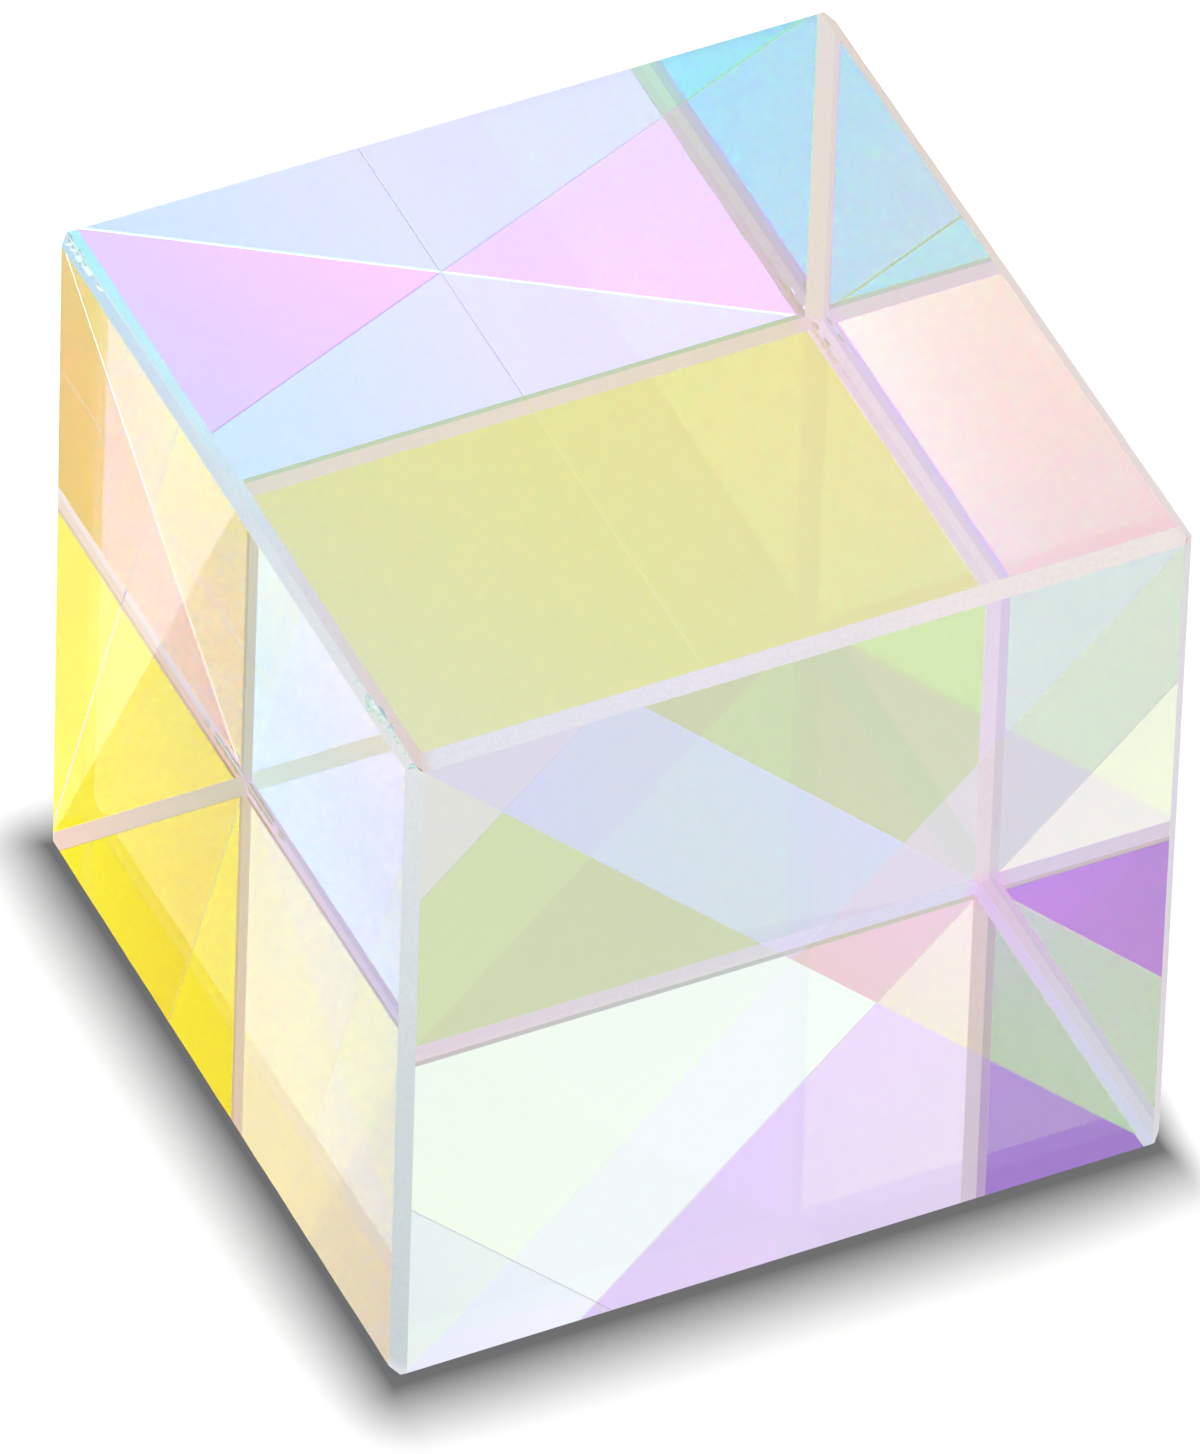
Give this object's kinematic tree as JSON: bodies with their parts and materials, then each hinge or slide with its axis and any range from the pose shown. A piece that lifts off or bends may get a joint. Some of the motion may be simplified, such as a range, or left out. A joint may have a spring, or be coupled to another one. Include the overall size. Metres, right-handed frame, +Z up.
{
  "type": "dichroic cross prism",
  "caption": "Glass cube cemented from right-angle prisms, with two crossed dichroic coatings that split or combine coloured light.",
  "frame": {"origin": "centre of the cube's underside", "axes": "+Z up; +Y along the prisms, so the X of the joints shows on the -Y and +Y faces; +X to the right"},
  "size_m": [0.025, 0.025, 0.025],
  "materials": {
    "optical_glass": "polished clear crown glass, with fine-ground bevels",
    "optical_cement": "clear cured optical cement",
    "amber_passing_coating": "multilayer film that mirrors blue light and passes amber light",
    "cyan_passing_coating": "multilayer film that mirrors red light and passes cyan light"
  },
  "bodies": {
    "root": {"top_prism": "optical_glass", "right_prism": "optical_glass", "bottom_prism": "optical_glass", "left_prism": "optical_glass", "whole_coating": "cyan_passing_coating", "whole_cement": "optical_cement", "upper_half_coating": "amber_passing_coating", "upper_half_cement": "optical_cement", "lower_half_coating": "amber_passing_coating", "lower_half_cement": "optical_cement"}
  },
  "joints": []
}
